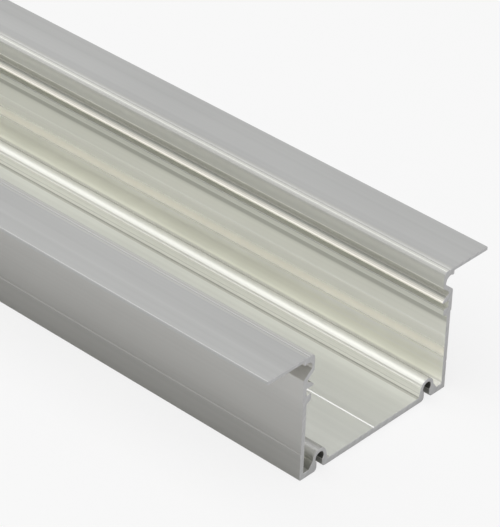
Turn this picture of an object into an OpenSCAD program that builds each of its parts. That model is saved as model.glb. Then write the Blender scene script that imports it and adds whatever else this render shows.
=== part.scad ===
// Recessed lighting profile: one aluminium extrusion with a channel between two mounting flanges.
// It lies on its base with the channel open upwards. X runs along the length, Y across, Z up,
// and the origin is the middle of the base.

/* [Stock] */
// Length of the bar
length = 1000; // [200:10:3000]
// Height from the base to the top of the flanges
height = 34.3; // [30:0.1:60]
// Width of the body, outside its two side walls
body_w = 51; // [30:0.5:120]
// Width of a flange beyond its side wall
flange_w = 12.2; // [5:0.1:25]

/* [Walls] */
// Thickness of the side walls
wall_t = 1.2; // [1:0.1:1.5]
// Thickness of the base plate
base_t = 1.6; // [1.3:0.1:1.9]
// Radius of the outer edges along the base
base_r = 0.4; // [0.2:0.1:1]
// Distance that the wall stands out behind the snap rack, and depth of the snap groove in it
band_d = 0.25; // [0.1:0.05:0.4]
// Height of the lower edge of that thicker band
band_z = 22.2; // [19:0.1:24]

/* [Flanges] */
// Thickness of a flange
flange_t = 1; // [0.8:0.05:1.3]
// Radius of the flange's two outer edges
flange_edge_r = 0.2; // [0.1:0.05:0.35]
// Thickness of the root that joins a flange to its neck
root_t = 1.8; // [1.6:0.1:2.1]
// Width of the root, from the mouth outwards
root_w = 3.55; // [3.3:0.05:4]
// Radius of the bead along the root's lower outer edge
bead_r = 0.4; // [0.3:0.05:0.5]
// Distance that the bead hangs below the root
bead_drop = 0.25; // [0.1:0.05:0.3]

/* [Lip] */
// Width of the lip along the mouth
lip_w = 1.9; // [1.6:0.1:2.2]
// Radius of the lip's inner edge
lip_r = 1.2; // [0.6:0.1:1.3]
// Width of the shallow slope from the lip up to the flange
step_w = 1; // [0.6:0.1:1.3]
// Height of the shallow slope from the lip up to the flange
step_d = 0.1; // [0.05:0.01:0.2]

/* [Mouth] */
// Distance that a neck's inner face stands in from the side wall's outer face
neck_inset = 3.3; // [3.1:0.05:3.8]
// Thickness of a neck
neck_t = 0.8; // [0.7:0.05:1]
// Radius of the fillet between a neck and the flange's root
neck_fillet_r = 1.6; // [0.5:0.1:1.7]
// Depth of a neck's lower inner edge below the flange top
neck_drop = 4.6; // [4.4:0.1:5.2]
// Radius of a neck's lower inner edge
neck_edge_r = 0.3; // [0.1:0.05:0.5]
// Thickness of the sloped shoulder that widens the neck to the side wall
shoulder_t = 1.1; // [0.9:0.05:1.3]
// Slope of the shoulder
shoulder_a = 40; // [35:1:43]
// Radius of the shoulder's outer edge
shoulder_r = 0.5; // [0.2:0.1:0.9]
// Radius of the inside corner between a neck and its shoulder
nook_r = 0.3; // [0.1:0.05:0.5]

/* [Snap rack] */
// Depth of the upper hook's root, at the side wall, below the flange top
hook_drop = 7.1; // [7:0.05:8.5]
// Slope of the upper hook's top face
hook_a = 24; // [10:1:26]
// Height of the upper hook at the side wall
hook_h = 1.75; // [1.7:0.05:2.3]
// Width of the lead-in slope along the upper hook's edge
lead_w = 0.75; // [0.5:0.05:0.8]
// Slope of the lead-in
lead_a = 48; // [40:1:50]
// Height of the snap groove between the two hooks
groove_h = 1.95; // [1.2:0.05:2.6]
// Reach of the lower hook from the side wall
ledge_w = 1.4; // [0.8:0.1:2]
// Height of the lower hook's face
ledge_h = 1.65; // [1.2:0.05:2.4]
// Slope of the underside of the lower hook
under_a = 25; // [15:1:45]
// Radius of the hooks' edges
hook_r = 0.2; // [0.1:0.05:0.25]

/* [Screw ports] */
// Distance of a port's axis from the side wall's outer face
port_inset = 6.65; // [6.3:0.05:9]
// Height of a port's axis above the base
port_z = 3.4; // [3.3:0.1:4.5]
// Bore of a screw port
port_d = 2.8; // [2.5:0.1:3]
// Wall around a screw port
port_wall = 0.95; // [0.8:0.05:1.1]
// Width of the slot that opens a port downwards
port_slot = 1.9; // [1.2:0.1:1.9]
// Radius of the slot's two lower edges
port_slot_r = 1.1; // [0.3:0.1:1.2]
// Spread of the port's flank at the floor, towards the middle
port_foot = 0.5; // [0.2:0.05:0.8]
// Spread of the port's flank at the floor, towards the side wall
port_heel = 1.3; // [0.4:0.1:1.4]

/* [Lines] */
// Width of the marking groove along the middle of the floor
centre_w = 0.4; // [0.3:0.05:0.8]
// Depth of the marking groove along the middle of the floor
centre_d = 0.12; // [0.05:0.01:0.3]
// Width of the fine lines
line_w = 0.3; // [0.2:0.05:0.5]
// Depth of the fine lines
line_d = 0.08; // [0.04:0.01:0.2]
// Height of the fine line on the inner faces
inner_line_z = 15.2; // [10:0.1:18]
// Width of the drilling guide line on the outer faces
guide_w = 0.6; // [0.3:0.05:0.9]
// Depth of the drilling guide line on the outer faces
guide_d = 0.2; // [0.1:0.05:0.3]
// Height of the drilling guide line on the outer faces
guide_z = 7.6; // [5:0.1:15]
// Number of gripping notches on each port's flank
notches = 3; // [0:1:3]
// Height of the lowest gripping notch above the floor
notch_z = 1; // [0.6:0.1:1.2]
// Spacing of the gripping notches
notch_pitch = 1.05; // [0.8:0.05:1.05]

/* [Hidden] */
$fn = 64;
bite = 0.05;                                  // overlap between shapes that are one piece of metal
kiss = 0.0005;                                // how far an arc crosses the faces that it runs into
wall_out = body_w / 2;
wall_in = wall_out - wall_t;
band_out = wall_out + band_d;
neck_in = wall_out - neck_inset;
neck_out = neck_in + neck_t;
root_out = neck_in + root_w;
flange_out = wall_out + flange_w;
lip_out = neck_in + lip_w;
port_y = wall_out - port_inset;
port_r = port_d / 2 + port_wall;
lip_top = height - step_d;
flange_low = height - flange_t;
root_low = height - root_t;
neck_low = height - neck_drop;
hook_root = height - hook_drop;
hook_low = hook_root - hook_h;
ledge_in = wall_in - ledge_w;
ledge_top = hook_low - groove_h;
ledge_low = ledge_top - ledge_h;
// Inner and outer lines of the shoulder, as heights over the distance from the middle
function shoulder_in(y) = neck_low - (y - neck_in) * tan(shoulder_a);
function shoulder_out(y) = shoulder_in(y) + shoulder_t / cos(shoulder_a);
// Distance from the middle to the inner flank of a screw port at a height
function flank(z) = z > port_z ? port_y - sqrt(port_r * port_r - (z - port_z) * (z - port_z))
    : port_y - port_r - port_foot * (port_z - z) / (port_z - base_t);
function along(a, d) = [d * cos(a), d * sin(a)];

// Corner at v between edges that leave it at angles a and b, outside an arc of radius r.
// It is taken away from an outer corner and added to an inner one.
module corner(v, a, b, r) {
    half = (b - a) / 2;
    difference() {
        polygon([
            v - along(a + half, bite), v + along(a, r / tan(half)) + along(a - 90, bite),
            v + along(a + half, r / sin(half)), v + along(b, r / tan(half)) + along(b + 90, bite)
        ]);
        translate(v + along(a + half, r / sin(half) - kiss)) circle(r);
    }
}

// V-shaped groove that opens along +Y, cut into a face at y = 0
module v_groove(w, d) {
    polygon([[-d, 0], [bite, w / 2 * (1 + bite / d)], [bite, -w / 2 * (1 + bite / d)]]);
}

// A length of bar with the given section, centred on the origin
module bar(extra = 0) {
    rotate([90, 0, 90]) linear_extrude(height = length + extra, center = true) children();
}

// Base plate with its marking groove and rounded outer edge
module base_plate() {
    difference() {
        bar() translate([-bite, 0]) square([wall_out + bite, base_t]);
        bar(2) translate([0, base_t]) rotate(90) v_groove(centre_w, centre_d);
        bar(2) corner([wall_out, 0], 90, 180, base_r);
    }
}

// Side wall, which steps out behind the snap rack by as much as the snap groove cuts into it,
// and its two lines
module side_wall() {
    difference() {
        union() {
            bar() translate([wall_in, base_r]) square([wall_t, shoulder_out(wall_out) - base_r]);
            bar() translate([wall_in, band_z]) square([wall_t + band_d, shoulder_out(band_out) - band_z]);
        }
        bar(2) translate([wall_in - bite, ledge_top]) square([band_d + bite, groove_h]);
        bar(2) translate([wall_in, inner_line_z]) rotate(180) v_groove(line_w, line_d);
        bar(2) translate([wall_out, guide_z]) v_groove(guide_w, guide_d);
    }
}

// Upper hook of the snap rack, with a lead-in slope that spreads the legs of a diffuser
module upper_hook() {
    crest = hook_root - (wall_in - neck_in - lead_w) * tan(hook_a);
    nose = crest - lead_w * tan(lead_a);
    difference() {
        bar() polygon([
            [wall_in + bite, hook_root + bite * tan(hook_a)], [neck_in + lead_w, crest], [neck_in, nose],
            [neck_in, hook_low], [wall_in + bite, hook_low]
        ]);
        bar(2) corner([neck_in, nose], -90, lead_a, hook_r);
        bar(2) corner([neck_in, hook_low], 0, 90, hook_r);
    }
}

// Lower hook of the snap rack, below the groove that the diffuser's legs snap into
module lower_hook() {
    difference() {
        bar() polygon([
            [wall_in + bite, ledge_top], [ledge_in, ledge_top], [ledge_in, ledge_low],
            [wall_in + bite, ledge_low - (ledge_w + bite) * tan(under_a)]
        ]);
        bar(2) corner([ledge_in, ledge_top], -90, 0, hook_r);
        bar(2) corner([ledge_in, ledge_low], -under_a, 90, hook_r);
    }
}

// Shoulder that carries the neck inside the side wall
module shoulder() {
    difference() {
        bar() polygon([
            [neck_in, neck_low], [neck_in, shoulder_out(neck_in)], [band_out, shoulder_out(band_out)],
            [band_out, shoulder_in(band_out)]
        ]);
        bar(2) corner([neck_in, neck_low], -shoulder_a, 90, neck_edge_r);
    }
}

// Neck between the shoulder and the flange's root, with the curves at its two ends
module neck() {
    bar() translate([neck_in, shoulder_out(neck_out) - bite])
        square([neck_t, root_low - shoulder_out(neck_out) + 2 * bite]);
    bar() corner([neck_out, root_low], -90, 0, neck_fillet_r);
    bar() corner([neck_out, shoulder_out(neck_out)], -shoulder_a, 90, nook_r);
}

// Root of the flange: the rounded lip along the mouth, the shallow slope beside it and the bead below
module root() {
    bead_z = root_low - bead_drop + bead_r;
    difference() {
        union() {
            bar() translate([neck_in, root_low]) square([root_w - bead_r, root_t]);
            bar() translate([root_out - bead_r - bite, bead_z]) square([bead_r + bite, height - bead_z]);
        }
        bar(2) polygon([
            [neck_in - bite, height + bite], [neck_in - bite, lip_top], [lip_out, lip_top],
            [lip_out + step_w, height], [lip_out + step_w, height + bite]
        ]);
        bar(2) corner([neck_in, lip_top], -90, 0, lip_r);
        bar(2) translate([lip_out, lip_top]) rotate(90) v_groove(line_w, line_d);
    }
    bar() translate([root_out - bead_r, bead_z]) circle(bead_r);
}

// Flange with its rounded outer edges
module flange() {
    difference() {
        bar() translate([root_out - bead_r, flange_low]) square([flange_out - root_out + bead_r, flange_t]);
        bar(2) corner([flange_out, height], 180, 270, flange_edge_r);
        bar(2) corner([flange_out, flange_low], 90, 180, flange_edge_r);
    }
}

// Screw port: a round boss on the base plate with a notched inner flank, a bore and a slot below it
module port_boss() {
    difference() {
        union() {
            bar() translate([port_y, port_z]) circle(port_r);
            bar() polygon([
                [port_y - port_r - port_foot, base_t - bite], [port_y + port_r + port_heel, base_t - bite],
                [port_y + port_r + port_heel, base_t], [port_y + port_r, port_z],
                [port_y - port_r, port_z], [port_y - port_r - port_foot, base_t]
            ]);
        }
        for (i = [0:1:notches - 1]) {
            z = base_t + notch_z + i * notch_pitch;
            bar(2) translate([flank(z), z]) rotate(180) v_groove(line_w, line_d);
        }
    }
}

// The opening of a screw port: its bore and the slot that runs out through the base
module port_opening() {
    bar(2) translate([port_y, port_z]) circle(port_d / 2);
    bar(2) translate([port_y - port_slot / 2, -bite]) square([port_slot, port_z + bite]);
    bar(2) corner([port_y + port_slot / 2, 0], 0, 90, port_slot_r);
    bar(2) corner([port_y - port_slot / 2, 0], 90, 180, port_slot_r);
}

// One half of the profile, on the +Y side
module half_profile() {
    difference() {
        union() {
            base_plate();
            side_wall();
            upper_hook();
            lower_hook();
            shoulder();
            neck();
            root();
            flange();
            port_boss();
        }
        port_opening();
        bar(2) corner([band_out, shoulder_out(band_out)], 180 - shoulder_a, 270, shoulder_r);
    }
}

module profile() {
    color([0.74, 0.74, 0.71]) union() {
        half_profile();
        mirror([0, 1, 0]) half_profile();
    }
}

profile();
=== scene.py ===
import math
from types import SimpleNamespace

import bmesh
import bpy
from mathutils import Matrix, Vector


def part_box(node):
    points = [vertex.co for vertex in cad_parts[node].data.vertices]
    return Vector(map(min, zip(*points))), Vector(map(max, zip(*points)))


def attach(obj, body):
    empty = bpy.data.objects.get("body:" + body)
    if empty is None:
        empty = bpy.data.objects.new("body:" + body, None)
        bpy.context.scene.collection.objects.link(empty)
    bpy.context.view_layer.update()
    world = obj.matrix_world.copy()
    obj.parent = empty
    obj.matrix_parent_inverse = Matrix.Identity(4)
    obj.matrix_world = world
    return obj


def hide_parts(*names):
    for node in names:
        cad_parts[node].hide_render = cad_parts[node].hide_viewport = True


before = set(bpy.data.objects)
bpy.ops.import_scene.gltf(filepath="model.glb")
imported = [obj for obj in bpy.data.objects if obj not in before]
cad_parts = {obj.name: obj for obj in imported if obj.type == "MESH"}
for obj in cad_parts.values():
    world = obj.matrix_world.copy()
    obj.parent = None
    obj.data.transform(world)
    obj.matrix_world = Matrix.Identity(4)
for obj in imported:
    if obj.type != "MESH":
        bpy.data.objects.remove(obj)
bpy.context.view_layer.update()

# Profile: one bar of aluminium, pressed through a die and satin anodised. The die leaves fine
# lines along the bar, and the saw leaves two bare ends whose sharp edges are only just broken.
profile_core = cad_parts["profile"]
bar_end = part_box("profile")[1].x
broken_edge = 0.00012

# Distances within which two points are one, and a point lies on an end. Angles within which two
# faces are one plane, and one curve. Share of its normal along the bar that makes a face an end.
merge_distance = 0.0000001
end_tolerance = 0.000001
flat_angle = 0.001
smooth_angle = math.radians(28)
end_facing = 0.9

bpy.ops.object.select_all(action="DESELECT")
profile = bpy.data.objects.new("profile_bar", profile_core.data.copy())
bpy.context.scene.collection.objects.link(profile)
bpy.context.view_layer.objects.active = profile
profile.select_set(True)
bpy.ops.object.mode_set(mode="EDIT")
bpy.ops.mesh.customdata_custom_splitnormals_clear()
bpy.ops.mesh.select_all(action="SELECT")
bpy.ops.mesh.remove_doubles(threshold=merge_distance)
bpy.ops.mesh.dissolve_limited(angle_limit=flat_angle)
bpy.ops.object.mode_set(mode="OBJECT")

# Two of the notches on each port leave a thin sliver of metal. A corner of the section that folds
# back this sharply is the tip of one, and the long edge that runs from it is dissolved.
fold_back = -0.8

bar = bmesh.new()
bar.from_mesh(profile.data)
sliver_edges = set()
for end in [face for face in bar.faces if face.normal.x > end_facing]:
    for corner in end.loops:
        side_before = corner.vert.co - corner.link_loop_prev.vert.co
        side_after = corner.link_loop_next.vert.co - corner.vert.co
        turn = side_before.normalized().dot(side_after.normalized())
        if turn < fold_back and side_before.cross(side_after).x > 0:
            sliver_edges.update(edge for edge in corner.vert.link_edges
                                if abs(edge.verts[0].co.x - edge.verts[1].co.x) > bar_end)
bmesh.ops.dissolve_edges(bar, edges=list(sliver_edges), use_verts=True)

# Where the section has a tight corner, the broken edge gets narrower step by step, until each side
# keeps a share of its length. A mitre is limited as well, so that a sharp corner doesn't run far in.
side_kept = 0.2
width_kept = 0.6
mitre_limit = 0.4


def drawn_in(outline, facing, width):
    """The outline of a sawn end that faces along facing, moved in by width, or by less where it is tight."""
    count = len(outline)
    sides = [outline[(i + 1) % count] - outline[i] for i in range(count)]
    inwards = [facing.cross(side.normalized()) for side in sides]
    widths = [width] * count
    while True:
        inner = []
        for i, corner in enumerate(outline):
            mitre = max(1 + inwards[i - 1].dot(inwards[i]), mitre_limit)
            inner.append(corner + (inwards[i - 1] + inwards[i]) * (widths[i] / mitre))
        tight = [i for i, side in enumerate(sides)
                 if (inner[(i + 1) % count] - inner[i]).dot(side) < side_kept * side.length_squared]
        if not tight:
            return inner
        for i in tight:
            widths[i] *= width_kept
            widths[(i + 1) % count] *= width_kept


rims = [corner for corner in bar.verts if abs(abs(corner.co.x) - bar_end) < end_tolerance]
cut_faces = [face for face in bar.faces if abs(face.normal.x) > end_facing]
for end in bmesh.ops.extrude_discrete_faces(bar, faces=cut_faces)["faces"]:
    facing = Vector((math.copysign(1.0, end.normal.x), 0, 0))
    corners = list(end.verts)
    places = drawn_in([corner.co.copy() for corner in corners], facing, broken_edge)
    for corner, place in zip(corners, places):
        corner.co = place
for corner in rims:
    corner.co.x -= math.copysign(broken_edge, corner.co.x)
bar.to_mesh(profile.data)
bar.free()
bpy.ops.object.shade_smooth_by_angle(angle=smooth_angle)


class Recipe:
    """A node tree that is written one line to a node."""

    def __init__(self, tree):
        self.nodes = tree.nodes
        self.links = tree.links

    def add(self, kind, *inputs, **settings):
        """A new node with its inputs, each a socket and what goes into it, and its settings."""
        node = self.nodes.new(kind)
        for name, value in settings.items():
            setattr(node, name, value)
        for socket, value in inputs:
            self.put(node.inputs[socket], value)
        return node

    def put(self, socket, value):
        """A link from another node, or else a plain value."""
        if isinstance(value, bpy.types.NodeSocket):
            self.links.new(value, socket)
        else:
            socket.default_value = value

    def calc(self, operation, a, b=0.0):
        return self.add("ShaderNodeMath", (0, a), (1, b), operation=operation).outputs[0]

    def plus(self, a, b):
        return self.calc("ADD", a, b)

    def times(self, a, b):
        return self.calc("MULTIPLY", a, b)

    def ramp(self, value, low, high, out_low=0.0, out_high=1.0):
        """A value that goes from low to high made one that goes from out_low to out_high."""
        return self.add("ShaderNodeMapRange", ("Value", value), ("From Min", low), ("From Max", high),
                        ("To Min", out_low), ("To Max", out_high)).outputs["Result"]


class Finish(Recipe):
    """The recipe of a surface, with its material, its shader and the places on its piece."""

    # How strong and how deep the fine relief is, and the range in which a noise mostly stays
    relief_strength = 0.25
    relief_depth = 0.00004
    usual_noise = (0.3, 0.7)

    def __init__(self, name):
        self.material = bpy.data.materials.new(name)
        self.material.use_nodes = True
        super().__init__(self.material.node_tree)
        self.shader = self.nodes["Principled BSDF"]
        self.place = self.add("ShaderNodeTexCoord").outputs["Object"]

    def paint(self, socket, value):
        self.put(self.shader.inputs[socket], value)

    def mix(self, share, a, b, kind="MIX", label=""):
        return self.add("ShaderNodeMix", (0, share), (6, a), (7, b), data_type="RGBA", blend_type=kind,
                        label=label).outputs[2]

    def blend(self, share, a, b):
        return self.add("ShaderNodeMix", (0, share), (2, a), (3, b), data_type="FLOAT").outputs[0]

    def shade(self, colour, tone):
        """A colour made darker or lighter by a tone round 1."""
        grey = self.add("ShaderNodeCombineColor", (0, tone), (1, tone), (2, tone)).outputs[0]
        return self.mix(1.0, colour, grey, "MULTIPLY")

    def within(self, value, span, soft):
        """1 inside a span and 0 outside it, with edges that are soft over a distance."""
        low, high = span
        return self.times(self.ramp(value, low - soft / 2, low + soft / 2),
                          self.ramp(value, high + soft / 2, high - soft / 2))

    def swing(self, noise, middle, reach):
        """A noise made a value that swings round a middle by up to a reach."""
        return self.ramp(noise, *self.usual_noise, middle - reach, middle + reach)

    def drawn_noise(self, along, across, detail):
        """A noise drawn out along the bar, with so many turns a metre along and across it."""
        drawn = self.add("ShaderNodeMapping", ("Vector", self.place), ("Scale", (along, across, across)))
        return self.add("ShaderNodeTexNoise", ("Vector", drawn.outputs[0]), ("Scale", 1.0),
                        ("Detail", detail)).outputs["Fac"]

    def relief(self, height):
        """A fine relief of the surface that follows a height."""
        bump = self.add("ShaderNodeBump", ("Strength", self.relief_strength), ("Distance", self.relief_depth),
                        ("Height", height))
        self.paint("Normal", bump.outputs[0])


# Its anodised skin: a satin metal. Painted light makes it brighter and warmer in the closed channel,
# and painted shade makes it darker on the outer sides and in the recesses, and dark in the screw ports.
skin_colour = (0.53, 0.533, 0.525, 1)
skin_metal = 0.62
skin_roughness = 0.36

# Die lines and clouding: turns a metre along and across the bar, detail, and swing of the tone
broad_lines = (1.5, 260.0, 2.0)
fine_lines = (4.0, 900.0, 3.0)
hair_lines = (9.0, 3200.0, 2.0)
clouding = (14.0, 40.0, 3.0)
broad_tone = 0.035
fine_tone = 0.03
cloud_tone = 0.035
line_roughness = 0.04
hair_relief = 0.6
fine_relief = 0.4

# Places on the skin are in millimetres, out from the middle of the bar, up from its base, or along it
mm_in_m = 1000.0

# Outer sides, with painted shade that darkens them towards the foot: their colour high up and at the
# foot, and the heights between which it changes
outside_colour = (0.64, 0.636, 0.615, 1)
outside_foot_shade_colour = (0.407, 0.404, 0.385, 1)
outside_shade_fade = (26.0, 2.0)

# Roughness of the channel, the places where it fades out at its side and its top, and the glossier
# band of the wall, in which the port's crest is mirrored
channel_roughness = 0.45
channel_side = (25.0, 24.6)
channel_top = (27.0, 26.6)
gloss_roughness = 0.2
gloss_rise = (9.0, 12.6)
gloss_soft = 1.6

# Ends of the pockets between the ports and the walls, with painted shade on the near one and painted
# light on the far one: where along the bar their tone starts and where it is full. Light falls in by
# the sawn end, and reaches the far pocket but not the near one.
pocket_span = (20.6, 24.8)
pocket_soft = 0.4
pocket_start = bar_end * mm_in_m - 6.0
pocket_full = bar_end * mm_in_m - 2.0
pocket_painted_shade_colour = (0.30, 0.30, 0.28, 1)
pocket_shade_fade = (5.0, 3.0)
pocket_painted_light_colour = (0.90, 0.90, 0.87, 1)
pocket_light_fade = (2.0, 1.7)

# Bores of the screw ports, with painted shade: the axis, and the distances from it between which the
# dark fades out
port_shade_colour = (0.20, 0.20, 0.18, 1)
port_axis = (18.85, 3.4)
port_shade_fade = (1.46, 1.42)

# Stretches that several faces share. The lowest and the highest value lie outside the bar, so a
# stretch that starts or ends with one of them is open there.
least = -1.0
most = 50.0
wall = (23.8, 24.9)
flank = (15.9, 17.2)
neck = (22.0, 22.5)
floor_rise = (least, 2.0)
notch_soft = 0.06
side_soft = 0.2

# Each face that has painted light or shade of its own, or the skin's own colour again: its stretch out
# from the middle, its stretch up from the base, how soft its edges are, and its colour. A later face
# lies over an earlier one. In the section, the floor is at 1.6, the mouth at 22.2, the wall at 24.3 and
# the flange's top at 34.3.
face_painted_light_and_shade = (
    # Painted light: the channel brighter and warmer than the skin, as bounced light makes it
    ("inside of the channel", (least, 24.85), (least, 33.4), 0.3, (0.85, 0.853, 0.80, 1)),

    # Wall: painted light on its halves, painted shade in a band and at its foot, a painted reflection of the
    # port's crest, and a painted highlight on the upper edge of its fine line
    ("wall, upper half", wall, (9.0, 19.0), 0.8, (0.915, 0.913, 0.86, 1)),
    ("wall, duller band", wall, (11.9, 13.4), 0.8, (0.875, 0.873, 0.815, 1)),
    ("wall, lower half", wall, (1.7, 9.0), 0.8, (1.0, 1.0, 0.93, 1)),
    ("wall, foot", wall, (least, 2.4), 0.6, (0.70, 0.70, 0.66, 1)),
    ("wall, where it mirrors the port's crest", wall, (9.8, 11.8), 1.2, (1.0, 0.965, 0.86, 1)),
    ("wall, upper edge of its fine line", wall, (15.3, 15.6), 0.1, (1.0, 1.0, 0.95, 1)),

    # Floor: less painted light than the rest of the channel, a painted highlight on its centre line, and
    # painted shade along the port's foot
    ("floor", (least, 16.2), floor_rise, 0.2, (0.68, 0.69, 0.65, 1)),
    ("floor, centre line", (least, 0.32), floor_rise, 0.15, (0.80, 0.80, 0.78, 1)),
    ("floor, along the port's foot", (15.3, 16.1), floor_rise, 0.4, (0.49, 0.49, 0.45, 1)),

    # Port: painted light on its flank, and painted shade in its notches, on its crest and in the mouth of its
    # slot
    ("port, flank", (15.9, 17.1), (1.85, 4.9), 0.2, (0.97, 0.97, 0.91, 1)),
    ("port, lowest notch", flank, (2.48, 2.72), notch_soft, (0.80, 0.80, 0.75, 1)),
    ("port, middle notch", flank, (3.53, 3.77), notch_soft, (0.90, 0.90, 0.84, 1)),
    ("port, highest notch", flank, (4.35, 4.90), notch_soft, (0.76, 0.76, 0.71, 1)),
    ("port, crest towards the middle", (17.2, 18.6), (4.9, 5.9), 0.2, (0.76, 0.765, 0.715, 1)),
    ("port, top of its crest", (18.6, 19.6), (5.3, 5.9), 0.2, (0.72, 0.72, 0.68, 1)),
    ("port, crest towards the wall", (19.6, 21.1), (4.2, 5.8), 0.3, (0.54, 0.54, 0.51, 1)),
    ("port, mouth of its slot", (17.8, 19.9), (least, 2.2), 0.3, (0.34, 0.34, 0.32, 1)),

    # Rack: painted shade on the wall below it, on the edge of the lower hook and on the root, slope and
    # lead-in of the upper hook, and a painted highlight on its nose
    ("rack, wall below it", (23.9, 24.9), (19.4, 20.8), 0.5, (0.61, 0.61, 0.57, 1)),
    ("rack, edge of the lower hook", (22.8, 23.2), (23.2, 23.6), 0.1, (0.58, 0.58, 0.54, 1)),
    ("rack, root of the upper hook", (23.5, 24.9), (26.2, 27.9), 0.2, (0.76, 0.76, 0.71, 1)),
    ("rack, slope of the upper hook", (22.95, 23.6), (26.45, 27.1), 0.15, (0.37, 0.37, 0.34, 1)),
    ("rack, top of the lead-in", (22.7, 22.95), (26.1, 26.7), 0.1, (0.48, 0.47, 0.42, 1)),
    ("rack, foot of the lead-in", (22.45, 22.7), (26.0, 26.5), 0.1, (0.64, 0.62, 0.56, 1)),
    ("rack, nose of the upper hook", (22.0, 22.45), (25.3, 26.1), 0.1, (0.97, 0.94, 0.85, 1)),

    # Neck and shoulder: painted shade, lighter on the neck's upper part, with a painted highlight on its
    # lower edge, and darker still on the outer side, in the recess under the flange
    ("neck and shoulder", (22.0, 24.9), (28.1, 33.4), 0.3, (0.68, 0.68, 0.65, 1)),
    ("neck, upper part", neck, (31.6, 33.4), 1.2, (0.83, 0.83, 0.795, 1)),
    ("neck, lower edge", neck, (29.5, 30.0), 0.1, (0.95, 0.94, 0.90, 1)),
    ("neck and shoulder, outer side", (22.8, 26.2), (28.1, 33.4), 0.3, (0.62, 0.61, 0.575, 1)),

    # Flange: the skin's own colour. Lip: painted shade on its round, its fine line and the slope beside it,
    # and a painted highlight on its flat
    ("flange", (least, most), (33.35, most), 0.1, skin_colour),
    ("lip, lower part of its round", neck, (33.4, 33.85), 0.1, (0.61, 0.61, 0.58, 1)),
    ("lip, upper part of its round", (22.5, 22.95), (33.75, most), 0.1, (0.40, 0.40, 0.38, 1)),
    ("lip, flat", (22.95, 23.8), (33.9, most), 0.15, (0.75, 0.75, 0.705, 1)),
    ("lip, fine line", (23.8, 24.3), (33.9, most), 0.15, (0.47, 0.47, 0.45, 1)),
    ("slope between lip and flange", (24.3, 25.15), (33.95, most), 0.1, (0.55, 0.55, 0.53, 1)),
)

# Painted light and shade of the side near the camera, where it differs from the far side's: painted
# shade on the near port's crest and dimmer painted highlights on the near lip, in the same form
near_painted_light_and_shade = (
    ("near port, crest", (16.9, 21.1), (3.5, 5.9), 0.3, (0.46, 0.46, 0.45, 1)),
    ("near lip, flat", (23.4, 24.3), (33.5, most), 0.1, (0.55, 0.55, 0.53, 1)),
    ("near lip, round", (22.0, 23.4), (33.5, most), 0.1, (0.64, 0.64, 0.62, 1)),
    ("near slope between lip and flange", (24.3, 25.2), (33.95, most), 0.1, (0.59, 0.59, 0.57, 1)),
    ("near lip, fine line", (23.85, 24.4), (33.5, most), 0.1, (0.46, 0.46, 0.445, 1)),
)


def places_on_bar(r):
    """Where a point lies, in mm: along the bar, out to either side, to the far or near side, and up."""
    in_mm = r.add("ShaderNodeVectorMath", (0, r.place), ("Scale", mm_in_m), operation="SCALE").outputs[0]
    x, y, z = r.add("ShaderNodeSeparateXYZ", (0, in_mm)).outputs
    return SimpleNamespace(along=r.calc("ABSOLUTE", x), across=r.calc("ABSOLUTE", y), far=y,
                           near=r.times(y, -1.0), height=z)


def faces_with_painted_light(r, at, skin):
    """The skin with the painted light and shade of the single faces."""
    for side, tones in ((at.across, face_painted_light_and_shade), (at.near, near_painted_light_and_shade)):
        for face, reach, rise, soft, colour in tones:
            share = r.times(r.within(at.height, rise, soft), r.within(side, reach, min(soft, side_soft)))
            skin = r.mix(share, skin, colour, label=face)
    return skin


def pockets_with_painted_light(r, at, skin):
    """The skin with painted shade on the end of the near pocket beside the port and painted light on the far
    one's.
    """
    pocket_end = r.times(r.within(at.across, pocket_span, pocket_soft),
                         r.ramp(at.along, pocket_start, pocket_full))
    shaded = r.times(r.ramp(at.height, *pocket_shade_fade), r.ramp(at.near, 0.0, 1.0))
    lit = r.times(r.ramp(at.height, *pocket_light_fade), r.ramp(at.far, 0.0, 1.0))
    skin = r.mix(r.times(pocket_end, shaded), skin, pocket_painted_shade_colour)
    return r.mix(r.times(pocket_end, lit), skin, pocket_painted_light_colour)


def ports_with_painted_shade(r, at, skin):
    """The skin with painted shade in the bores of the screw ports, where hardly any light gets in."""
    out = r.calc("SUBTRACT", at.across, port_axis[0])
    up = r.calc("SUBTRACT", at.height, port_axis[1])
    off_axis = r.calc("SQRT", r.plus(r.times(out, out), r.times(up, up)))
    return r.mix(r.ramp(off_axis, *port_shade_fade), skin, port_shade_colour)


def satin(r, at):
    """The roughness of the skin before the die lines change it."""
    in_channel = r.times(r.ramp(at.across, *channel_side), r.ramp(at.height, *channel_top))
    in_gloss = r.times(r.within(at.height, gloss_rise, gloss_soft), r.within(at.across, wall, side_soft))
    return r.blend(in_gloss, r.blend(in_channel, skin_roughness, channel_roughness), gloss_roughness)


def anodised_skin():
    """The satin skin, with its painted light and shade, its gloss and the die lines along it."""
    r = Finish("satin_anodised_aluminium")
    at = places_on_bar(r)
    broad = r.drawn_noise(*broad_lines)
    fine = r.drawn_noise(*fine_lines)
    hair = r.drawn_noise(*hair_lines)
    cloud = r.drawn_noise(*clouding)

    skin = r.mix(r.ramp(at.height, *outside_shade_fade), outside_colour, outside_foot_shade_colour)
    skin = pockets_with_painted_light(r, at, faces_with_painted_light(r, at, skin))
    line_tone = r.plus(r.swing(broad, 0.0, broad_tone), r.swing(fine, 0.0, fine_tone))
    skin = r.shade(skin, r.plus(line_tone, r.swing(cloud, 1.0, cloud_tone)))
    r.paint("Base Color", ports_with_painted_shade(r, at, skin))
    r.paint("Metallic", skin_metal)
    r.paint("Roughness", r.plus(satin(r, at), r.swing(fine, 0.0, line_roughness)))
    r.relief(r.plus(r.times(hair, hair_relief), r.times(fine, fine_relief)))
    return r.material


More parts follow.
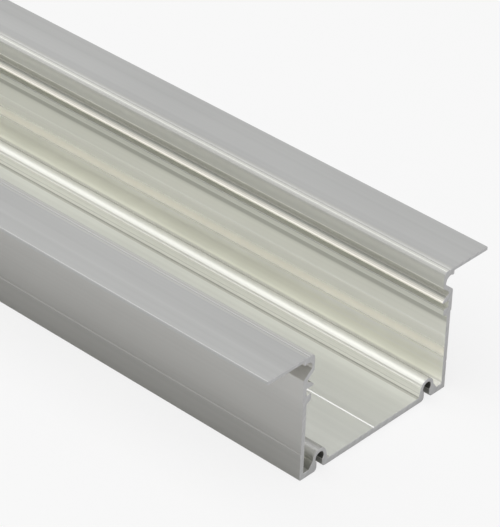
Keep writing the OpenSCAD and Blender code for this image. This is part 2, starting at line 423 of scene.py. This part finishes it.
# Its sawn ends: bare metal, because the bar is anodised before it is sawn to length. A circular
# saw leaves its marks there as wide arcs.
cut_colour = (0.58, 0.58, 0.58, 1)
cut_metal = 0.7
cut_roughness = 0.45
saw_centre = (0.0, 0.35, -0.25)
saw_marks_per_metre = 1500.0
saw_detail = 2.0
saw_tone = 0.07
saw_roughness = 0.05

# Share of its normal along the bar above which a face is sawn, broken edges and all
cut_facing = 0.1


def sawn_end():
    """The bare end, with marks at even distances from the saw's centre."""
    r = Finish("sawn_aluminium")
    from_centre = r.add("ShaderNodeVectorMath", (0, r.place), (1, saw_centre),
                        operation="DISTANCE").outputs["Value"]
    saw = r.add("ShaderNodeTexNoise", ("W", r.times(from_centre, saw_marks_per_metre)), ("Scale", 1.0),
                ("Detail", saw_detail), noise_dimensions="1D").outputs["Fac"]
    r.paint("Base Color", r.shade(cut_colour, r.swing(saw, 1.0, saw_tone)))
    r.paint("Metallic", cut_metal)
    r.paint("Roughness", r.swing(saw, cut_roughness, saw_roughness))
    r.relief(saw)
    return r.material


profile.data.materials.clear()
profile.data.materials.append(anodised_skin())
profile.data.materials.append(sawn_end())
for face in profile.data.polygons:
    face.material_index = 1 if abs(face.normal.x) > cut_facing else 0
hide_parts("profile")
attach(profile, "root")

# Floor: a wide white board that the bar lies on. It shows the eye and the metal a nearly white
# surface that still takes the bar's soft shadow.
board_size = 12.0
board_colour = (0.86, 0.86, 0.86, 1)
board_roughness = 0.9
board_shine = 0.1

# How far the board turns into plain white, where it is seen and where it is mirrored
seen_white = 0.8
mirrored_white = 0.15

bpy.ops.object.select_all(action="DESELECT")
bpy.ops.mesh.primitive_plane_add(size=board_size, location=(0, 0, 0))
floor = bpy.context.object
floor.name = "floor"
board = Finish("pale_board")
board.paint("Base Color", board_colour)
board.paint("Roughness", board_roughness)
board.paint("Specular IOR Level", board_shine)
board_rays = board.add("ShaderNodeLightPath").outputs
mirrored = board.calc("MAXIMUM", board_rays["Is Glossy Ray"], board_rays["Is Transmission Ray"])
whiteness = board.calc("MAXIMUM", board.times(mirrored, mirrored_white),
                       board.times(board_rays["Is Camera Ray"], seen_white))
white = board.add("ShaderNodeEmission", ("Strength", 1.0)).outputs[0]
shown = board.add("ShaderNodeMixShader", (0, whiteness), (1, board.shader.outputs[0]), (2, white))
board.put(board.nodes["Material Output"].inputs["Surface"], shown.outputs[0])
floor.data.materials.append(board.material)

# Room: pale to the eye and in reflections, and a softer even light on matt surfaces. One long
# softbox hangs over the bar and lies along it.
room_colour = (0.8, 0.8, 0.8, 1)
room_light = 0.5
softbox_length = 3.2
softbox_width = 1.36
softbox_distance = 1.2
softbox_turn = math.radians(104)
softbox_middle = -0.4
softbox_brightness = 1.1

world = bpy.data.worlds.new("room")
bpy.context.scene.world = world
world.use_nodes = True
room = Recipe(world.node_tree)
room.nodes.clear()
room_rays = room.add("ShaderNodeLightPath").outputs
looked_at = room.calc("MAXIMUM", room_rays["Is Camera Ray"], room_rays["Is Glossy Ray"])
looked_at = room.calc("MAXIMUM", looked_at, room_rays["Is Transmission Ray"])
backdrop = room.add("ShaderNodeBackground", ("Color", room_colour),
                    ("Strength", room.ramp(looked_at, 0.0, 1.0, room_light, 1.0)))
room.add("ShaderNodeOutputWorld", ("Surface", backdrop.outputs[0]))

softbox_lamp = bpy.data.lights.new("overhead_softbox", "AREA")
softbox_lamp.shape = "RECTANGLE"
softbox_lamp.size = softbox_length
softbox_lamp.size_y = softbox_width
softbox_lamp.energy = softbox_brightness * softbox_length * softbox_width * math.pi
softbox = bpy.data.objects.new("overhead_softbox", softbox_lamp)
bpy.context.scene.collection.objects.link(softbox)
softbox.location = (softbox_middle, softbox_distance * math.cos(softbox_turn),
                    softbox_distance * math.sin(softbox_turn))
softbox.rotation_euler = (softbox_turn - math.pi / 2, 0, 0)

# Camera: where the photograph was taken from, with the sawn end at the lower right. Its place,
# turns and focal length were fitted to the corners of that end and to the bar's long edges.
photo_width = 500
sensor_width = 36.0
focal_pixels = 2947.2
camera_place = Vector((0.8400, -0.4239, 0.4145))
camera_heading = math.radians(41.899)
camera_drop = math.radians(34.172)
camera_roll = math.radians(2.072)
nearest_seen = 0.01
farthest_seen = 100

lens = bpy.data.cameras.new("camera")
lens.sensor_fit = "HORIZONTAL"
lens.sensor_width = sensor_width
lens.lens = focal_pixels / photo_width * sensor_width
lens.clip_start = nearest_seen
lens.clip_end = farthest_seen
camera = bpy.data.objects.new("camera", lens)
bpy.context.scene.collection.objects.link(camera)
heading = Matrix.Rotation(camera_heading, 4, "Z")
tilt = Matrix.Rotation(math.pi / 2 - camera_drop, 4, "X")
roll = Matrix.Rotation(camera_roll, 4, "Z")
camera.matrix_world = Matrix.Translation(camera_place) @ heading @ tilt @ roll
bpy.context.scene.camera = camera
bpy.context.scene.view_settings.view_transform = "Standard"
